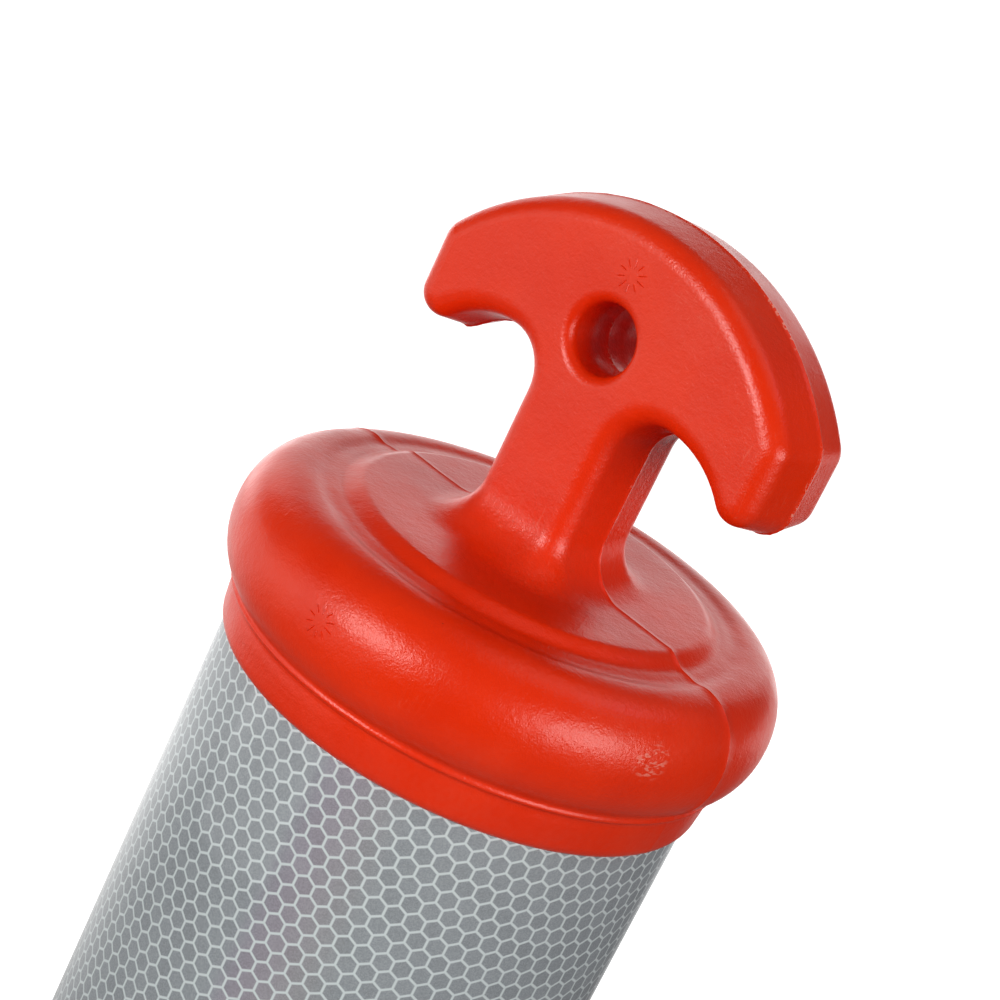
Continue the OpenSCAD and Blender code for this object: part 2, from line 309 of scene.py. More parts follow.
def fill_outline(bm):
    """Mirrors the half outline, fills it, and turns the face to the front."""
    draw_handle_half(bm)
    bmesh.ops.mirror(bm, geom=bm.verts[:] + bm.edges[:], axis="X", merge_dist=0.001)
    bmesh.ops.remove_doubles(bm, verts=bm.verts[:], dist=0.001)
    ends = sorted(bm.verts, key=lambda v: v.co.z)[:2]
    bm.edges.new(ends)
    face = bmesh.ops.contextual_create(bm, geom=bm.edges[:])["faces"][0]
    face.normal_update()
    if face.normal.y > 0:
        bmesh.ops.reverse_faces(bm, faces=[face])
    return face


# %% Raise the face by insets
def raise_face(bm, face):
    """The drafted side and the rounded edge, as a stack of insets. Returns the flat front."""
    draft_end = HANDLE_HALF_T - EDGE_R * (1 - math.sin(DRAFT_SLOPE))
    draft_steps = 11
    depths = [0, SEAM_STEP]
    depths += [SEAM_STEP + (draft_end - SEAM_STEP) * i / draft_steps for i in range(1, draft_steps + 1)]
    stack = [(depth, depth * math.tan(DRAFT_SLOPE)) for depth in depths]
    centre_inset = stack[-1][1] + EDGE_R * math.cos(DRAFT_SLOPE)
    round_steps = 9
    for i in range(1, round_steps + 1):
        angle = DRAFT_SLOPE + (math.pi / 2 - DRAFT_SLOPE) * i / round_steps
        depth = HANDLE_HALF_T - EDGE_R * (1 - math.sin(angle))
        stack.append((depth, centre_inset - EDGE_R * math.cos(angle)))
    stack.append((HANDLE_HALF_T, centre_inset + FRONT_STEP))
    for (depth, inset), (next_depth, next_inset) in zip(stack, stack[1:]):
        bmesh.ops.inset_region(
            bm, faces=[face], use_boundary=True, use_even_offset=True,
            thickness=next_inset - inset, depth=next_depth - depth,
        )
    return face


# %% [markdown]
# ## The hole and the neck
# A cord or a hook goes through the hole, so its mouth is well rounded. Its wall is spun
# from a short profile, and the flat front of the handle is filled between the hole's
# mouth and the rounded edge. At the bottom the handle is cut level, and its open edge is
# stepped down and outwards along a quarter circle, which is the fillet that spreads the
# pull of a hand into the disc.

# %% Cut the hole
def make_hole(bm):
    """The wall of the hole from its mouth to the parting plane. Returns the mouth's edges."""
    mouth_r = HOLE_R + HOLE_MOUTH_R
    tip = bmesh.ops.create_vert(bm, co=(mouth_r, -HANDLE_HALF_T, HOLE_Z))["vert"][0]
    made = [tip]
    centre = Vector((mouth_r, -HANDLE_HALF_T + HOLE_MOUTH_R, 0))
    walls = [(centre.x - HOLE_MOUTH_R * math.sin(a), centre.y - HOLE_MOUTH_R * math.cos(a))
             for a in [math.pi / 2 * i / 7 for i in range(1, 8)]]
    walls += [(HOLE_R, -7.2), (HOLE_R - 0.05, -6.9), (HOLE_R - 0.05, -4.6), (HOLE_R, -4.3)]
    walls += [(HOLE_R, -0.5), (HOLE_R - 0.1, 0)]
    for radius, y in walls:
        tip = bmesh.ops.extrude_vert_indiv(bm, verts=[tip])["verts"][0]
        tip.co = (radius, y, HOLE_Z)
        made.append(tip)
    wires = [e for e in bm.edges if not e.link_faces and all(v in made for v in e.verts)]
    bmesh.ops.spin(
        bm, geom=made + wires, cent=(0, 0, HOLE_Z), axis=(0, 1, 0),
        angle=2 * math.pi, steps=72, use_merge=True,
    )
    return open_edges(bm, lambda co: abs(co.y + HANDLE_HALF_T) < 0.001
                      and abs(math.hypot(co.x, co.z - HOLE_Z) - mouth_r) < 0.01)


# %% Close the front and cut the neck level
NECK_CUT_Z = DISC_Z + NECK_FILLET


def make_handle():
    """The front half of the handle, open at the neck and on the parting plane."""
    bm = bmesh.new()
    front = raise_face(bm, fill_outline(bm))
    bmesh.ops.bisect_plane(
        bm, geom=bm.verts[:] + bm.edges[:] + bm.faces[:], dist=0.0001,
        plane_co=(0, 0, NECK_CUT_Z), plane_no=(0, 0, 1), clear_inner=True,
    )
    front = max(bm.faces, key=lambda f: f.calc_area())
    cut = [e for e in front.edges if all(abs(v.co.z - NECK_CUT_Z) < 0.001 for v in e.verts)]
    neck_edges = len(open_edges(bm, lambda co: abs(co.z - NECK_CUT_Z) < 0.001))
    bmesh.ops.subdivide_edges(bm, edges=cut, cuts=HALF_STEPS - neck_edges)
    front = max(bm.faces, key=lambda f: f.calc_area())
    border = front.edges[:]
    bmesh.ops.delete(bm, geom=[front], context="FACES_ONLY")
    mouth = make_hole(bm)
    border = [e for e in border if e.is_valid]
    bmesh.ops.triangle_fill(bm, use_beauty=True, use_dissolve=False, edges=border + mouth, normal=(0, -1, 0))
    print("handle half:", len(bm.verts), "vertices,", neck_edges, "neck edges before the front was divided")
    return bm


# %% Step the neck down to the disc
def neck_chain(bm, height):
    """The open edge at that height, as vertices ordered from right to left round the front."""
    edges = open_edges(bm, lambda co: abs(co.z - height) < 0.001 and co.xy.length < 29.9)
    verts = {v for e in edges for v in e.verts}
    start = max((v for v in verts if abs(v.co.y) < 0.001), key=lambda v: v.co.x)
    chain = [start]
    while True:
        step = [e.other_vert(chain[-1]) for e in edges if chain[-1] in e.verts]
        step = [v for v in step if v not in chain]
        if not step:
            return chain, edges
        chain.append(step[0])


def grow_fillet(bm):
    """Extrudes the neck's edge down along a quarter circle. Returns the last edges."""
    chain, edges = neck_chain(bm, NECK_CUT_Z)
    rest = [v.co.copy() for v in chain]
    normals = []
    for i in range(len(chain)):
        if i in (0, len(chain) - 1):
            normals.append(Vector((math.copysign(1, rest[i].x), 0, 0)))
            continue
        along = (rest[i + 1] - rest[i - 1]).normalized()
        normal = Vector((along.y, -along.x, 0))
        if normal.dot(rest[i]) < 0:
            normal.negate()
        normals.append(normal)
    steps = 12
    for step in range(1, steps + 1):
        turn = math.pi / 2 * step / steps
        drop = NECK_FILLET * math.sin(turn)
        grow = NECK_FILLET * (1 - math.cos(turn))
        made = bmesh.ops.extrude_edge_only(bm, edges=edges)["geom"]
        edges = [g for g in made if isinstance(g, bmesh.types.BMEdge)
                 and all(v in made for v in g.verts) and len(g.link_faces) == 1]
        new_verts = [g for g in made if isinstance(g, bmesh.types.BMVert)]
        for vert in new_verts:
            i = min(range(len(rest)), key=lambda k: (vert.co - chain[k].co).length_squared)
            vert.co = rest[i] + normals[i] * grow - Vector((0, 0, drop))
            vert.index = i
        chain = sorted(new_verts, key=lambda v: v.index)
        bm.verts.index_update()
    return edges


# %% [markdown]
# ## Join, mirror and mark the parting line
# The handle's fillet ends on the disc, where a bridge joins it to the body. Then the back
# half is mirrored on. Two halves of a mould never close perfectly, so a fine raised line
# runs over the post where they meet: the vertices on it are pushed out by a hair, with a
# few burrs where the plastic was trimmed by hand.

# %% Join the two shapes and mirror them
def join_meshes(target, source):
    """Adds the source bmesh to the target."""
    carrier = bpy.data.meshes.new("carrier")
    source.to_mesh(carrier)
    target.from_mesh(carrier)
    bpy.data.meshes.remove(carrier)
    source.free()


def bridge_neck(bm, fillet_edges):
    """Joins the fillet's last edge to the ring on the disc."""
    ring = open_edges(bm, lambda co: abs(co.z - DISC_Z) < 0.001 and abs(co.xy.length - NECK_RING_R) < 0.01)
    fillet = open_edges(bm, lambda co: abs(co.z - DISC_Z) < 0.001 and co.xy.length < NECK_RING_R - 0.1)
    bmesh.ops.bridge_loops(bm, edges=fillet + ring)
    print("bridged", len(fillet), "edges to", len(ring))


# %% Mark the parting line
def raise_seam(bm):
    """Pushes the vertices on the parting plane out, except inside the shell."""
    bm.normal_update()
    for vert in bm.verts:
        x, y, z = vert.co
        inside = z < DISC_Z - 5 and abs(x) < INSIDE_R + 1
        in_hole = math.hypot(x, z - HOLE_Z) < HOLE_R + 1
        if abs(y) > 0.001 or inside or in_hole or z < 15:
            continue
        height = SEAM_HEIGHT if z > BEAD_TOP else 0.3 * SEAM_HEIGHT
        ripple = noise.noise(Vector((x, 7.0, z)) * 0.9)
        height *= 1 + 0.5 * ripple
        on_hook = abs(x) > 33 and DISC_Z + 20 < z < DISC_Z + 37
        if on_hook:
            height += BURR_HEIGHT * max(0, noise.noise(Vector((x, 3.0, z)) * 1.3) + 0.15)
        normal = Vector((vert.normal.x, 0, vert.normal.z)).normalized()
        vert.co += normal * height


# %% Build the post's skin
def finished(name, bm, sharp_degrees=30):
    """A smooth-shaded object in metres, with its place in its mesh."""
    bmesh.ops.scale(bm, vec=(MM, MM, MM), verts=bm.verts[:])
    mesh = bpy.data.meshes.new(name)
    bm.to_mesh(mesh)
    bm.free()
    mesh.shade_smooth()
    mesh.set_sharp_from_angle(angle=math.radians(sharp_degrees))
    piece = bpy.data.objects.new(name, mesh)
    bpy.context.scene.collection.objects.link(piece)
    print(name, len(mesh.polygons), "faces")
    return piece


def make_post():
    """The whole post without its bands, as one closed shell."""
    bm = make_handle()
    fillet = grow_fillet(bm)
    body = make_body()
    join_meshes(bm, body)
    bridge_neck(bm, fillet)
    bmesh.ops.bisect_plane(
        bm, geom=bm.verts[:] + bm.edges[:] + bm.faces[:], dist=0.0005,
        plane_co=(0, -SEAM_STEP, 0), plane_no=(0, 1, 0),
    )
    bmesh.ops.mirror(bm, geom=bm.verts[:] + bm.edges[:] + bm.faces[:], axis="Y", merge_dist=0.002)
    bmesh.ops.remove_doubles(bm, verts=bm.verts[:], dist=0.001)
    bmesh.ops.recalc_face_normals(bm, faces=bm.faces[:])
    open_count = sum(1 for e in bm.edges if len(e.link_faces) != 2)
    print("post: edges without two faces:", open_count)
    raise_seam(bm)
    return bm


# %% [markdown]
# ## The marks of the mould's vents
# Air has to leave the mould as the plastic swells, through small inserts with a ring of
# slots. Each one prints a little sunburst of fine raised lines: one over the hole, and
# one on the rim. Each ray is a tiny bevelled bar, pressed onto the skin by finding the
# nearest point of the surface under it.

# %% Lay one sunburst on the skin
def add_vent_mark(bm, skin, centre, outward, ray_count=10):
    """A ring of fine raised rays about a point of the skin."""
    outward = Vector(outward).normalized()
    side = outward.cross(Vector((0, 0, 1))).normalized()
    up = side.cross(outward)
    for i in range(ray_count):
        angle = 2 * math.pi * (i + 0.3) / ray_count
        along = side * math.cos(angle) + up * math.sin(angle)
        across = outward.cross(along)
        ray = bmesh.ops.create_grid(bm, x_segments=6, y_segments=2, size=0.5)["verts"]
        length = 1.75 + 0.25 * (i % 3)
        for vert in ray:
            s, t = vert.co.x, vert.co.y
            flat = Vector(centre) + along * (2.4 + s * length) + across * t * 0.3
            place, normal, _, _ = skin.find_nearest(flat)
            crown = 0.2 if abs(t) < 0.3 and abs(s) < 0.45 else -0.04
            vert.co = place + normal * crown


# %% Assemble the post
post_bm = make_post()
skin_tree = BVHTree.FromBMesh(post_bm)
RIM_MARK_ANGLE = math.radians(-89)
rim_mark = Vector((58 * math.cos(RIM_MARK_ANGLE), 58 * math.sin(RIM_MARK_ANGLE), FLANGE_Z + 1.8))
add_vent_mark(post_bm, skin_tree, (0.2, -HANDLE_HALF_T, HOLE_Z + 13.5), (0, -1, 0))
add_vent_mark(post_bm, skin_tree, rim_mark, (rim_mark.x, rim_mark.y, 4))
post_skin = finished("post_skin", post_bm)

# %% [markdown]
# ## The bands of sheeting
# Each band is a strip of reflective film, wrapped once round the tube so that its end lies
# on its start. It is made the same way: a flat grid gets its thickness and its rounded
# edges, its UV map is laid out in cells of the honeycomb, and then the strip is wrapped.
# A UV map keeps the pattern on the film even where the lap lifts it.

# %% Sizes of the film, in millimetres
FILM_INNER_R = PANEL_R + 0.05
FILM_T = 0.4
LAP_W = 12
LAP_ANGLE = math.radians(115)
CELLS_ROUND = 82
CELL_PITCH = 2 * math.pi * (FILM_INNER_R + FILM_T) / CELLS_ROUND


# %% Make one band
def make_band(name, top):
    """A flat strip with rounded edges, wrapped round the tube with its end over its start."""
    turn_length = 2 * math.pi * FILM_INNER_R
    length = turn_length + LAP_W
    bm = bmesh.new()
    bmesh.ops.create_grid(bm, x_segments=240, y_segments=4, size=0.5)
    bmesh.ops.scale(bm, vec=(length, BAND_HEIGHT, 1), verts=bm.verts[:])
    slab = bmesh.ops.extrude_face_region(bm, geom=bm.faces[:])["geom"]
    bmesh.ops.translate(bm, vec=(0, 0, FILM_T), verts=[g for g in slab if isinstance(g, bmesh.types.BMVert)])
    bmesh.ops.recalc_face_normals(bm, faces=bm.faces[:])
    rims = [e for e in bm.edges if len(e.link_faces) == 2 and e.calc_face_angle() > 1
            and all(v.co.z > FILM_T / 2 for v in e.verts)]
    bmesh.ops.bevel(bm, geom=rims, offset=0.12, segments=2, profile=0.5, affect="EDGES", material=-1)
    cells = bm.loops.layers.uv.new("cells")
    for face in bm.faces:
        for loop in face.loops:
            loop[cells].uv = (loop.vert.co.x / CELL_PITCH, loop.vert.co.y / CELL_PITCH)
    lift_start = turn_length - length / 2 - 3
    for vert in bm.verts:
        x, y, z = vert.co
        lift = min(1, max(0, (x - lift_start) / 3))
        radius = FILM_INNER_R + z * 0.98 + FILM_T * lift * lift * (3 - 2 * lift)
        angle = LAP_ANGLE + (x + turn_length / 2) / FILM_INNER_R
        vert.co = (radius * math.cos(angle), radius * math.sin(angle), top - BAND_HEIGHT / 2 + y)
    bmesh.ops.recalc_face_normals(bm, faces=bm.faces[:])
    return finished(name, bm)


upper_film = make_band("upper_film", BAND_TOP)
lower_film = make_band("lower_film", LOWER_TOP)

# %% [markdown]
# ## The rubber base
# The base is pressed from recycled rubber crumb, so it's a heavy block with soft edges.
# Its measured solid already has the right shape. A copy of that mesh is merged, its flat
# areas are cleaned of spare edges, and a bevel rounds the corners as the press does.


# %% Round the edges of the base
def make_base():
    """A merged and bevelled copy of the measured base."""
    bm = bmesh.new()
    bm.from_mesh(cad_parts["rubber_base"].data)
    bmesh.ops.scale(bm, vec=(1 / MM, 1 / MM, 1 / MM), verts=bm.verts[:])
    bmesh.ops.remove_doubles(bm, verts=bm.verts[:], dist=0.002)
    bmesh.ops.dissolve_limit(bm, angle_limit=math.radians(1), verts=bm.verts[:], edges=bm.edges[:])
    corners = [e for e in bm.edges if len(e.link_faces) == 2 and e.calc_face_angle() > math.radians(25)]
    bmesh.ops.bevel(
        bm, geom=corners, offset=0.9, segments=2, profile=0.5, affect="EDGES",
        material=-1, clamp_overlap=True,
    )
    print("base: edges without two faces:", sum(1 for e in bm.edges if len(e.link_faces) != 2))
    return finished("base_skin", bm)


base_skin = make_base()

# %% [markdown]
# ## Building materials from nodes
# A material is a graph of nodes. Two small helpers keep each graph short: one adds a node
# and fills its sockets, the other makes a group, which is a reusable effect with named
# inputs and outputs. Groups only give out masks, heights and colours. The shader itself
# stays in the material.

# %% Node helpers
def add_node(tree, kind, sockets=None, **settings):
    """Adds a node, sets its properties, and fills or links its inputs by name or number."""
    made = tree.nodes.new(kind)
    for name, value in settings.items():
        setattr(made, name, value)
    for key, value in (sockets or {}).items():
        if isinstance(value, bpy.types.NodeSocket):
            tree.links.new(value, made.inputs[key])
        else:
            made.inputs[key].default_value = value
    return made


def maths(tree, operation, a, b=0.0, c=0.0, clamp=False):
    """One arithmetic step, and its result."""
    made = add_node(tree, "ShaderNodeMath", {0: a, 1: b, 2: c}, operation=operation, use_clamp=clamp)
    return made.outputs[0]


def vector_maths(tree, operation, a, b=(0, 0, 0)):
    """One arithmetic step on vectors, and its outputs."""
    return add_node(tree, "ShaderNodeVectorMath", {0: a, 1: b}, operation=operation).outputs


def ramp(tree, value, low, high, to_low=0.0, to_high=1.0):
    """A value stretched smoothly from one range to another, and held at its ends."""
    sockets = {"Value": value, "From Min": low, "From Max": high, "To Min": to_low, "To Max": to_high}
    return add_node(tree, "ShaderNodeMapRange", sockets, interpolation_type="SMOOTHSTEP").outputs[0]


def blend_colours(tree, share, first, second):
    """A mix of two colours."""
    return add_node(tree, "ShaderNodeMix", {0: share, 6: first, 7: second}, data_type="RGBA").outputs[2]


def noise_at(tree, vector, scale, detail=2.0, roughness=0.5):
    """A noise value at so many bumps a metre."""
    sockets = {"Vector": vector, "Scale": scale, "Detail": detail, "Roughness": roughness}
    return add_node(tree, "ShaderNodeTexNoise", sockets).outputs["Fac"]


def new_group(name, inputs, outputs):
    """A node group with named sockets. Returns it with its input and output sockets."""
    group = bpy.data.node_groups.new(name, "ShaderNodeTree")
    for label, kind, value in inputs:
        socket = group.interface.new_socket(name=label, in_out="INPUT", socket_type="NodeSocket" + kind)
        if value is not None:
            socket.default_value = value
    for label, kind in outputs:
        group.interface.new_socket(name=label, in_out="OUTPUT", socket_type="NodeSocket" + kind)
    entry = group.nodes.new("NodeGroupInput").outputs
    way_out = group.nodes.new("NodeGroupOutput").inputs
    return group, entry, way_out


def use_group(tree, group, sockets):
    """Places a group in a tree and returns its outputs."""
    made = add_node(tree, "ShaderNodeGroup", node_tree=group)
    for key, value in sockets.items():
        if isinstance(value, bpy.types.NodeSocket):
            tree.links.new(value, made.inputs[key])
        else:
            made.inputs[key].default_value = value
    return made.outputs


# %% [markdown]
# ## Effects that several finishes share
# Four effects turn up on more than one surface: the fine grain that a mould or a press
# leaves, specks of dirt or crumb, thin scratches, and dust. Each is a group, so the
# plastic, the film and the rubber can each use it at their own size.

# %% Grain and specks
def grain_group():
    """A leathery grain of the given size in metres: small pebbles broken up by noise."""
    group, given, out = new_group(
        "moulded_grain", [("Vector", "Vector", None), ("Size", "Float", 0.0004)], [("Height", "Float")])
    scale = maths(group, "DIVIDE", 1.0, given["Size"])
    pebbles = add_node(group, "ShaderNodeTexVoronoi", {"Vector": given["Vector"], "Scale": scale},
                       feature="SMOOTH_F1").outputs["Distance"]
    fine = noise_at(group, given["Vector"], scale, 3.0, 0.6)
    mixed = maths(group, "ADD", maths(group, "MULTIPLY", pebbles, 0.6), maths(group, "MULTIPLY", fine, 0.7))
    group.links.new(mixed, out["Height"])
    return group


def specks_group():
    """Scattered round specks: how large and how common they are. Colour differs for each."""
    group, given, out = new_group(
        "specks",
        [("Vector", "Vector", None), ("Spacing", "Float", 0.004),
         ("Radius", "Float", 0.2), ("Share", "Float", 0.3)],
        [("Mask", "Float"), ("Colour", "Color")])
    scale = maths(group, "DIVIDE", 1.0, given["Spacing"])
    cells = add_node(group, "ShaderNodeTexVoronoi", {"Vector": given["Vector"], "Scale": scale}).outputs
    chance = add_node(group, "ShaderNodeSeparateColor", {0: cells["Color"]}).outputs
    chosen = maths(group, "LESS_THAN", chance["Red"], given["Share"])
    size = maths(group, "MULTIPLY", given["Radius"], maths(group, "ADD", chance["Green"], 0.3))
    near = maths(group, "LESS_THAN", cells["Distance"], size)
    group.links.new(maths(group, "MULTIPLY", chosen, near), out["Mask"])
    group.links.new(cells["Color"], out["Colour"])
    return group


# %% Scratches and dust
def scratches_group():
    """Thin scratches, as a mask: stretched noise cut to narrow lines and broken into patches."""
    group, given, out = new_group(
        "scratches", [("Vector", "Vector", None), ("Amount", "Float", 0.5)], [("Mask", "Float")])
    lines = None
    for turn, stretch in ((0.6, (900, 900, 60)), (2.1, (60, 900, 900))):
        sockets = {"Vector": given["Vector"], "Rotation": (turn, 0.3, turn), "Scale": stretch}
        mapped = add_node(group, "ShaderNodeMapping", sockets)
        wave = noise_at(group, mapped.outputs[0], 1.0, 1.0)
        off_middle = maths(group, "ABSOLUTE", maths(group, "SUBTRACT", wave, 0.5))
        thin = ramp(group, off_middle, 0.0, 0.008, 1.0, 0.0)
        lines = thin if lines is None else maths(group, "MAXIMUM", lines, thin)
    patches = ramp(group, noise_at(group, given["Vector"], 45.0, 3.0), 0.56, 0.68)
    kept = maths(group, "MULTIPLY", maths(group, "MULTIPLY", lines, patches), given["Amount"])
    group.links.new(kept, out["Mask"])
    return group


def dust_group():
    """Dust in soft patches, as a mask."""
    group, given, out = new_group(
        "dust", [("Vector", "Vector", None), ("Amount", "Float", 0.3)], [("Mask", "Float")])
    broad = ramp(group, noise_at(group, given["Vector"], 18.0, 4.0, 0.6), 0.42, 0.75)
    fine = noise_at(group, given["Vector"], 900.0, 2.0)
    patchy = maths(group, "MULTIPLY", broad, fine)
    group.links.new(maths(group, "MULTIPLY", patchy, given["Amount"]), out["Mask"])
    return group


grain, specks = grain_group(), specks_group()
scratches, dust = scratches_group(), dust_group()
print("groups:", [g.name for g in bpy.data.node_groups])


# %% A blank material
def new_material(name):
    """A material with a Principled shader. Returns it, its tree, its shader and its Object coordinates."""
    material = bpy.data.materials.new(name)
    material.use_nodes = True
    tree = material.node_tree
    tree.nodes.clear()
    shader = add_node(tree, "ShaderNodeBsdfPrincipled")
    tree.links.new(shader.outputs[0], add_node(tree, "ShaderNodeOutputMaterial").inputs[0])
    place = add_node(tree, "ShaderNodeTexCoord").outputs["Object"]
    return material, tree, shader, place


# %% [markdown]
# ## Orange plastic
# The post is orange-red polyethylene with a satin, finely leathered surface. The colour
# is deep and even, and most of what the eye sees is the soft sheen of the grain. Under
# the grain lies a slight waviness from uneven cooling. A few dark specks, pale scuffs and
# a little dust keep it from looking new. Two groups are made for this finish alone: pale
# crumbs on the parting line, and one rubbed patch on the rim.

# %% Burrs and one rubbed patch
RIM_RUB = (0.0539, -0.0202, 0.9844)


def burrs_group():
    """Pale crumbs of plastic left along the parting line of the handle, as a mask."""
    group, given, out = new_group("parting_burrs", [("Vector", "Vector", None)], [("Mask", "Float")])
    axes = add_node(group, "ShaderNodeSeparateXYZ", {0: given["Vector"]}).outputs
    on_line = ramp(group, maths(group, "ABSOLUTE", axes["Y"]), 0.0003, 0.0008, 1.0, 0.0)
    on_handle = ramp(group, axes["Z"], 0.999, 1.003)
    crumbs = ramp(group, noise_at(group, given["Vector"], 1300.0, 1.0), 0.56, 0.64)
    here_and_there = ramp(group, noise_at(group, given["Vector"], 70.0, 1.0), 0.48, 0.60)
    where = maths(group, "MULTIPLY", on_line, on_handle)
    what = maths(group, "MULTIPLY", crumbs, here_and_there)
    group.links.new(maths(group, "MULTIPLY", where, what), out["Mask"])
    return group


def rubbed_group():
    """A patch of short pale strokes about a centre, as a mask."""
    group, given, out = new_group(
        "rubbed_patch",
        [("Vector", "Vector", None), ("Centre", "Vector", None), ("Reach", "Float", 0.004)],
        [("Mask", "Float")])
    ends = {0: given["Vector"], 1: given["Centre"]}
    away = add_node(group, "ShaderNodeVectorMath", ends, operation="DISTANCE").outputs["Value"]
    near = maths(group, "SUBTRACT", 1.0, maths(group, "DIVIDE", away, given["Reach"]), clamp=True)
    sockets = {"Vector": given["Vector"], "Rotation": (0.5, 0.2, 0.9), "Scale": (1500, 300, 1500)}
    turned = add_node(group, "ShaderNodeMapping", sockets)
    strokes = ramp(group, noise_at(group, turned.outputs[0], 1.0, 1.0), 0.52, 0.62)
    group.links.new(maths(group, "MULTIPLY", ramp(group, near, 0.0, 0.5), strokes), out["Mask"])
    return group


parting_burrs, rubbed_patch = burrs_group(), rubbed_group()


# %% Mix the orange plastic
def orange_plastic():
    """Satin moulded plastic with leathery grain, waviness, specks and scuffs."""
    material, tree, shader, place = new_material("orange_plastic")
    tone = noise_at(tree, place, 60.0, 3.0)
    tone = ramp(tree, tone, 0.3, 0.7)
    colour = blend_colours(tree, tone, (0.83, 0.040, 0.0006, 1), (0.78, 0.034, 0.0005, 1))
    scuff = use_group(tree, scratches, {"Vector": place, "Amount": 0.16})["Mask"]
    colour = blend_colours(tree, scuff, colour, (0.86, 0.30, 0.20, 1))
    sockets = {"Vector": place, "Spacing": 0.009, "Radius": 0.028, "Share": 0.25}
    dirt = use_group(tree, specks, sockets)["Mask"]
    colour = blend_colours(tree, maths(tree, "MULTIPLY", dirt, 0.7), colour, (0.12, 0.02, 0.012, 1))
    haze = use_group(tree, dust, {"Vector": place, "Amount": 0.10})["Mask"]
    colour = blend_colours(tree, haze, colour, (0.62, 0.33, 0.27, 1))
    burr = use_group(tree, parting_burrs, {"Vector": place})["Mask"]
    colour = blend_colours(tree, maths(tree, "MULTIPLY", burr, 0.6), colour, (0.90, 0.42, 0.32, 1))
    rub = use_group(tree, rubbed_patch, {"Vector": place, "Centre": RIM_RUB, "Reach": 0.0045})["Mask"]
    colour = blend_colours(tree, maths(tree, "MULTIPLY", rub, 0.45), colour, (0.88, 0.40, 0.32, 1))
    tree.links.new(colour, shader.inputs["Base Color"])
    patch = ramp(tree, noise_at(tree, place, 140.0, 3.0), 0.3, 0.7, 0.28, 0.34)
    rough = maths(tree, "ADD", patch, maths(tree, "MULTIPLY", scuff, 0.2), clamp=True)
    tree.links.new(rough, shader.inputs["Roughness"])
    coarse = noise_at(tree, place, 130.0, 2.0)
    wavy = add_node(tree, "ShaderNodeBump", {"Height": coarse, "Strength": 1.0, "Distance": 0.00016})
    pebbles = use_group(tree, grain, {"Vector": place, "Size": 0.0011})["Height"]
    leather = use_group(tree, grain, {"Vector": place, "Size": 0.00038})["Height"]
    both = maths(tree, "ADD", maths(tree, "MULTIPLY", pebbles, 0.55), maths(tree, "MULTIPLY", leather, 0.45))
    sockets = {"Height": both, "Strength": 1.0, "Distance": 0.00012, "Normal": wavy.outputs[0]}
    bump = add_node(tree, "ShaderNodeBump", sockets)
    tree.links.new(bump.outputs[0], shader.inputs["Normal"])
    return material


plastic = orange_plastic()
post_skin.data.materials.append(plastic)

# %% [markdown]
# ## Reflective sheeting
# The film is a honeycomb of sealed cells: grey prism material in each cell, and pale
# walls where the clear top film is welded down. The pattern is worked out from the UV
# map. Two rows of cell centres are laid over each other, the nearer one is kept, and the
# distance to the cell's six sides gives the wall. A clear glossy coat lies over it all.

# %% The honeycomb group
def honeycomb_group():
    """Walls and a number for each cell of a honeycomb with one cell a unit across."""
    group, given, out = new_group(
        "honeycomb", [("Vector", "Vector", None), ("Wall", "Float", 0.1)],
        [("Wall", "Float"), ("Cell", "Color"), ("Inside", "Float")])
    spacing = (1.0, math.sqrt(3), 1.0)
    offsets = []
    for shift in (0.0, 0.5):
        moved = vector_maths(group, "DIVIDE", given["Vector"], spacing)[0]
        moved = vector_maths(group, "ADD", moved, (shift, shift, 0))[0]
        share = vector_maths(group, "FRACTION", moved)[0]
        centred = vector_maths(group, "SUBTRACT", share, (0.5, 0.5, 0))[0]
        centred = vector_maths(group, "MULTIPLY", centred, (1.0, math.sqrt(3), 0))[0]
        length = vector_maths(group, "LENGTH", centred)["Value"]
        offsets.append((centred, length))
    nearer = maths(group, "LESS_THAN", offsets[0][1], offsets[1][1])
    sockets = {0: nearer, 4: offsets[1][0], 5: offsets[0][0]}
    chosen = add_node(group, "ShaderNodeMix", sockets, data_type="VECTOR").outputs[1]
    parts = add_node(group, "ShaderNodeSeparateXYZ", {0: chosen}).outputs
    across = maths(group, "ABSOLUTE", parts["X"])
    slanted = maths(group, "ADD", maths(group, "MULTIPLY", across, 0.5),
                    maths(group, "MULTIPLY", maths(group, "ABSOLUTE", parts["Y"]), math.sqrt(3) / 2))
    to_side = maths(group, "SUBTRACT", 0.5, maths(group, "MAXIMUM", across, slanted))
    half_wall = maths(group, "MULTIPLY", given["Wall"], 0.5)
    past_wall = maths(group, "SUBTRACT", to_side, maths(group, "MULTIPLY", half_wall, 0.75))
    wall = maths(group, "SUBTRACT", 1.0, maths(group, "DIVIDE", past_wall, half_wall), clamp=True)
    centre = vector_maths(group, "SUBTRACT", given["Vector"], chosen)[0]
    rounded = vector_maths(group, "SNAP", centre, (0.25, 0.25, 0.25))[0]
    random = add_node(group, "ShaderNodeTexWhiteNoise", {"Vector": rounded}).outputs["Color"]
    group.links.new(wall, out["Wall"])
    group.links.new(random, out["Cell"])
    group.links.new(to_side, out["Inside"])
    return group


honeycomb = honeycomb_group()


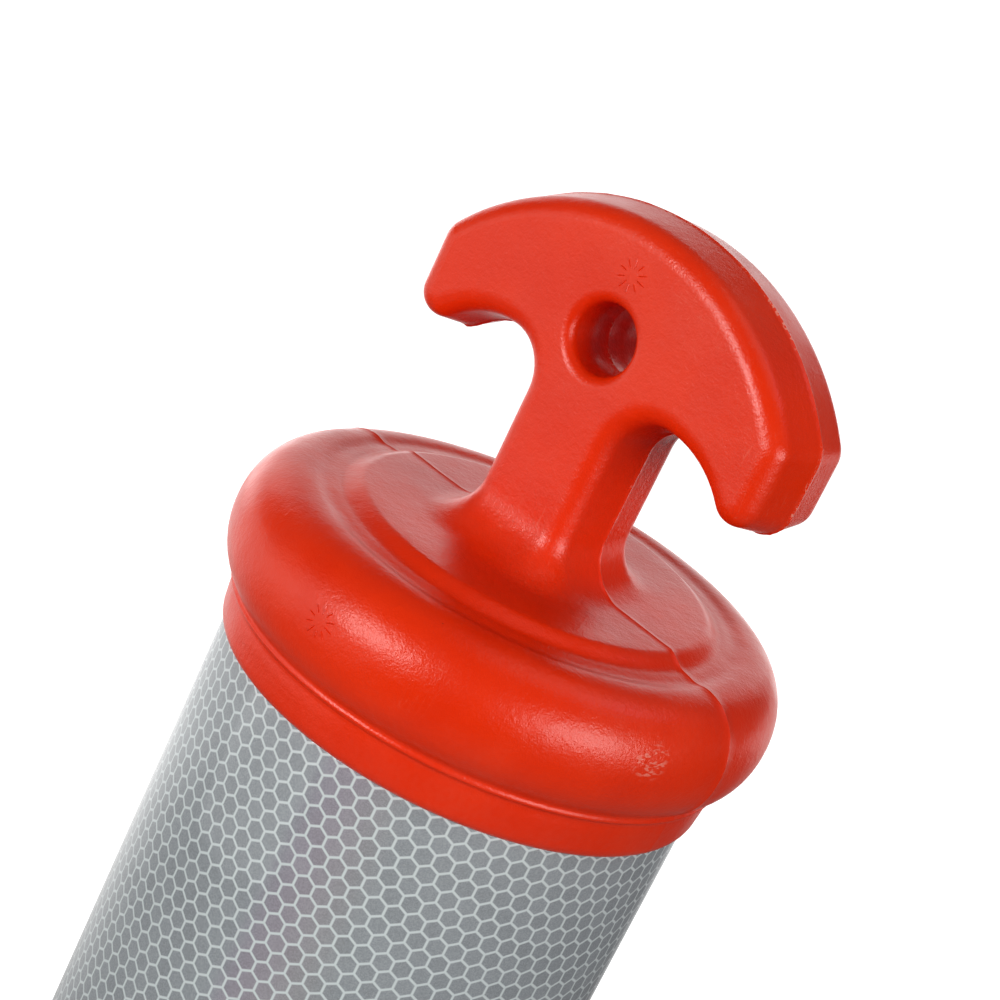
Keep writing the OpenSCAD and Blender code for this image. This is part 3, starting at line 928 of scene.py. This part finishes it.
# %% Mix the sheeting
def reflective_sheeting():
    """Grey prism cells with pale sealed walls and a faint painted rainbow sheen, under a clear glossy film.
    """
    material, tree, shader, place = new_material("reflective_sheeting")
    cells_uv = add_node(tree, "ShaderNodeUVMap", uv_map="cells").outputs[0]
    comb = use_group(tree, honeycomb, {"Vector": cells_uv, "Wall": 0.105})
    cell = add_node(tree, "ShaderNodeSeparateColor", {0: comb["Cell"]}).outputs
    tint = maths(tree, "MULTIPLY_ADD", cell["Red"], 0.10, -0.05)
    facets = add_node(tree, "ShaderNodeTexVoronoi", {"Vector": place, "Scale": 4200.0}).outputs["Color"]
    facet = add_node(tree, "ShaderNodeSeparateColor", {0: facets}).outputs
    sparkle = maths(tree, "MULTIPLY_ADD", facet["Red"], 0.22, -0.11)
    level = maths(tree, "ADD", maths(tree, "ADD", 1.0, tint), sparkle)
    sockets = {0: (0.315, 0.336, 0.350), "Scale": level}
    grey = add_node(tree, "ShaderNodeVectorMath", sockets, operation="SCALE").outputs[0]
    # A faint painted rainbow sheen: stretched streaks of hue mixed into the grey, in place of the film's
    # diffraction of light.
    stretched = add_node(tree, "ShaderNodeMapping", {"Vector": place, "Scale": (26, 26, 1.2)}).outputs[0]
    hues = add_node(tree, "ShaderNodeTexNoise", {"Vector": stretched, "Scale": 1.0, "Detail": 1.0}).outputs
    bands = ramp(tree, hues["Fac"], 0.58, 0.70)
    sockets = {"Color": hues["Color"], "Saturation": 2.2, "Value": 0.8}
    painted_rainbow_sheen = add_node(tree, "ShaderNodeHueSaturation", sockets).outputs[0]
    grey = blend_colours(tree, maths(tree, "MULTIPLY", bands, 0.07), grey, painted_rainbow_sheen)
    colour = blend_colours(tree, comb["Wall"], grey, (0.62, 0.67, 0.67, 1))
    haze = use_group(tree, dust, {"Vector": place, "Amount": 0.06})["Mask"]
    scuff = use_group(tree, scratches, {"Vector": place, "Amount": 0.25})["Mask"]
    colour = blend_colours(tree, maths(tree, "MAXIMUM", haze, scuff), colour, (0.75, 0.75, 0.73, 1))
    tree.links.new(colour, shader.inputs["Base Color"])
    rough = ramp(tree, facet["Green"], 0.0, 1.0, 0.28, 0.5)
    rough = maths(tree, "ADD", rough, maths(tree, "MULTIPLY", comb["Wall"], 0.1))
    tree.links.new(rough, shader.inputs["Roughness"])
    shader.inputs["Metallic"].default_value = 0.0
    shader.inputs["Specular IOR Level"].default_value = 0.15
    shader.inputs["Coat Weight"].default_value = 1.0
    shader.inputs["Coat Roughness"].default_value = 0.09
    height = maths(tree, "MULTIPLY_ADD", facet["Blue"], 0.25, comb["Wall"])
    bump = add_node(tree, "ShaderNodeBump", {"Height": height, "Strength": 0.6, "Distance": 0.00003})
    tree.links.new(bump.outputs[0], shader.inputs["Normal"])
    return material


sheeting = reflective_sheeting()
for film in (upper_film, lower_film):
    film.data.materials.append(sheeting)

# %% [markdown]
# ## Crumb rubber
# The base is black, but close up the crumb shows: granules of a few millimetres, here and
# there a coloured one from some other tyre or mat, and road dust in the hollows. Corners
# that knock against the road turn grey, which a pointiness mask picks out.


# %% Mix the rubber
def crumb_rubber():
    """Pressed black crumb with coloured granules, dust and worn corners."""
    material, tree, shader, place = new_material("base_rubber")
    crumb = add_node(tree, "ShaderNodeTexVoronoi", {"Vector": place, "Scale": 330.0}).outputs
    shade = add_node(tree, "ShaderNodeSeparateColor", {0: crumb["Color"]}).outputs["Red"]
    colour = blend_colours(tree, shade, (0.012, 0.012, 0.013, 1), (0.034, 0.034, 0.036, 1))
    bits = use_group(tree, specks, {"Vector": place, "Spacing": 0.006, "Radius": 0.26, "Share": 0.09})
    sockets = {"Color": bits["Colour"], "Saturation": 0.8, "Value": 0.35}
    bright = add_node(tree, "ShaderNodeHueSaturation", sockets).outputs[0]
    colour = blend_colours(tree, bits["Mask"], colour, bright)
    haze = use_group(tree, dust, {"Vector": place, "Amount": 0.45})["Mask"]
    colour = blend_colours(tree, haze, colour, (0.20, 0.18, 0.16, 1))
    pointy = add_node(tree, "ShaderNodeNewGeometry").outputs["Pointiness"]
    wear = maths(tree, "MULTIPLY", ramp(tree, pointy, 0.52, 0.58), 0.4)
    colour = blend_colours(tree, wear, colour, (0.11, 0.105, 0.10, 1))
    tree.links.new(colour, shader.inputs["Base Color"])
    tree.links.new(ramp(tree, shade, 0.0, 1.0, 0.62, 0.86), shader.inputs["Roughness"])
    rough = use_group(tree, grain, {"Vector": place, "Size": 0.0016})["Height"]
    height = maths(tree, "ADD", maths(tree, "MULTIPLY", crumb["Distance"], 0.8), rough)
    bump = add_node(tree, "ShaderNodeBump", {"Height": height, "Strength": 0.8, "Distance": 0.00035})
    tree.links.new(bump.outputs[0], shader.inputs["Normal"])
    return material


base_skin.data.materials.append(crumb_rubber())

# %% [markdown]
# ## Riding on the frame
# Each piece is tied to the body that it moves with and takes the place of its measured
# solid. The table also lists the slot that its finish belongs to.

# %% Tie the pieces to their bodies
PIECES = [
    (post_skin, "post", "post_shell", "orange_plastic"),
    (upper_film, "post", "upper_band", "sheeting"),
    (lower_film, "post", "lower_band", "sheeting"),
    (base_skin, "base", "rubber_base", "base_rubber"),
]
for piece, body, node, slot in PIECES:
    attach(piece, body)
    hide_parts(node)

# %% [markdown]
# ## Floor, light and camera
# A product like this is shown on a pale ground in soft light. A small key panel with a dim
# wash beside it on the left, and a panel on the right, draw the broad highlights on the
# rim. A bright wall behind gives the pale sheen at grazing angles, and a small tinted
# panel gives a magenta glint. The rest of the room is dim, so the colour stays deep.

# %% The floor
def make_floor():
    """A wide pale disc that reads as white paper, with a soft shadow under the base."""
    bm = bmesh.new()
    bmesh.ops.create_circle(bm, cap_ends=True, segments=96, radius=60)
    bmesh.ops.translate(bm, vec=(0, 0, -0.0004), verts=bm.verts[:])
    mesh = bpy.data.meshes.new("floor")
    bm.to_mesh(mesh)
    bm.free()
    floor = bpy.data.objects.new("floor", mesh)
    bpy.context.scene.collection.objects.link(floor)
    material = bpy.data.materials.new("pale_floor")
    material.use_nodes = True
    tree = material.node_tree
    tree.nodes.clear()
    seen = add_node(tree, "ShaderNodeLightPath").outputs["Is Camera Ray"]
    paper = add_node(tree, "ShaderNodeBsdfDiffuse", {"Color": (0.30, 0.30, 0.30, 1)}).outputs[0]
    glow = add_node(tree, "ShaderNodeEmission", {"Color": (1, 1, 1, 1), "Strength": 0.94}).outputs[0]
    bright = add_node(tree, "ShaderNodeAddShader", {0: paper, 1: glow}).outputs[0]
    place = add_node(tree, "ShaderNodeTexCoord").outputs["Object"]
    # For rays other than the camera's, the floor further behind the post glows: a painted pool of light that
    # the post picks up and reflects.
    behind = vector_maths(tree, "DOT_PRODUCT", place, (-0.87, 0.5, 0))["Value"]
    sockets = {"Color": (1, 1, 1, 1), "Strength": ramp(tree, behind, 0.8, 2.0, 0.0, 0.85)}
    painted_floor_glow = add_node(tree, "ShaderNodeEmission", sockets).outputs[0]
    lit = add_node(tree, "ShaderNodeAddShader", {0: paper, 1: painted_floor_glow}).outputs[0]
    mixed = add_node(tree, "ShaderNodeMixShader", {0: seen, 1: lit, 2: bright}).outputs[0]
    tree.links.new(mixed, add_node(tree, "ShaderNodeOutputMaterial").inputs[0])
    mesh.materials.append(material)
    return floor


make_floor()


# %% The lights
HEAD = Vector((0, 0, 1.0))


def soft_panel(name, azimuth, elevation, distance, size, radiance, colour=(1, 1, 1)):
    """A soft rectangular light that faces the head. Radiance sets how bright it looks."""
    a, e = math.radians(azimuth), math.radians(elevation)
    away = Vector((math.cos(e) * math.cos(a), math.cos(e) * math.sin(a), math.sin(e)))
    data = bpy.data.lights.new(name, "AREA")
    data.shape = "RECTANGLE"
    data.size, data.size_y = size
    data.color = colour
    data.energy = radiance * math.pi * size[0] * size[1]
    light = bpy.data.objects.new(name, data)
    bpy.context.scene.collection.objects.link(light)
    light.location = HEAD + away * distance
    light.rotation_euler = away.to_track_quat("Z", "Y").to_euler()
    light.visible_camera = False
    return light


soft_panel("left_key", -98, 13, 1.5, (0.6, 0.6), 9)
soft_panel("left_wash", -125, -5, 1.6, (1.4, 1.4), 0.7)
soft_panel("right_panel", -12, 9, 1.6, (1.1, 0.75), 5)
soft_panel("back_wall", 134, 8, 3.0, (4.2, 2.6), 1.1)
soft_panel("top_panel", 30, 72, 1.9, (1.2, 1.2), 0.6)
soft_panel("tint_panel", 41, 54, 1.8, (0.35, 0.35), 2.2, (1.0, 0.55, 0.9))


# %% The room
def make_room():
    """A dim even room that the camera sees as white."""
    world = bpy.data.worlds.new("room")
    bpy.context.scene.world = world
    world.use_nodes = True
    tree = world.node_tree
    tree.nodes.clear()
    seen = add_node(tree, "ShaderNodeLightPath").outputs["Is Camera Ray"]
    dim = add_node(tree, "ShaderNodeBackground", {"Color": (0.97, 0.98, 1, 1), "Strength": 0.12}).outputs[0]
    white = add_node(tree, "ShaderNodeBackground", {"Color": (1, 1, 1, 1), "Strength": 1.0}).outputs[0]
    mixed = add_node(tree, "ShaderNodeMixShader", {0: seen, 1: dim, 2: white}).outputs[0]
    tree.links.new(mixed, add_node(tree, "ShaderNodeOutputWorld").inputs[0])


make_room()
bpy.context.scene.view_settings.view_transform = "Standard"
bpy.context.scene.view_settings.look = "Medium High Contrast"


# %% The camera
def make_camera():
    """Close to the head, a little above it, and leaning over so that the post runs off a corner."""
    data = bpy.data.cameras.new("camera")
    data.sensor_width = 36
    data.lens = 87.69
    data.clip_start = 0.01
    data.clip_end = 200
    camera = bpy.data.objects.new("camera", data)
    bpy.context.scene.collection.objects.link(camera)
    camera.location = (0.2351, -0.3867, 1.1545)
    camera.rotation_euler = [math.radians(a) for a in (69.40, -24.233, 41.425)]
    bpy.context.scene.camera = camera
    return camera


make_camera()
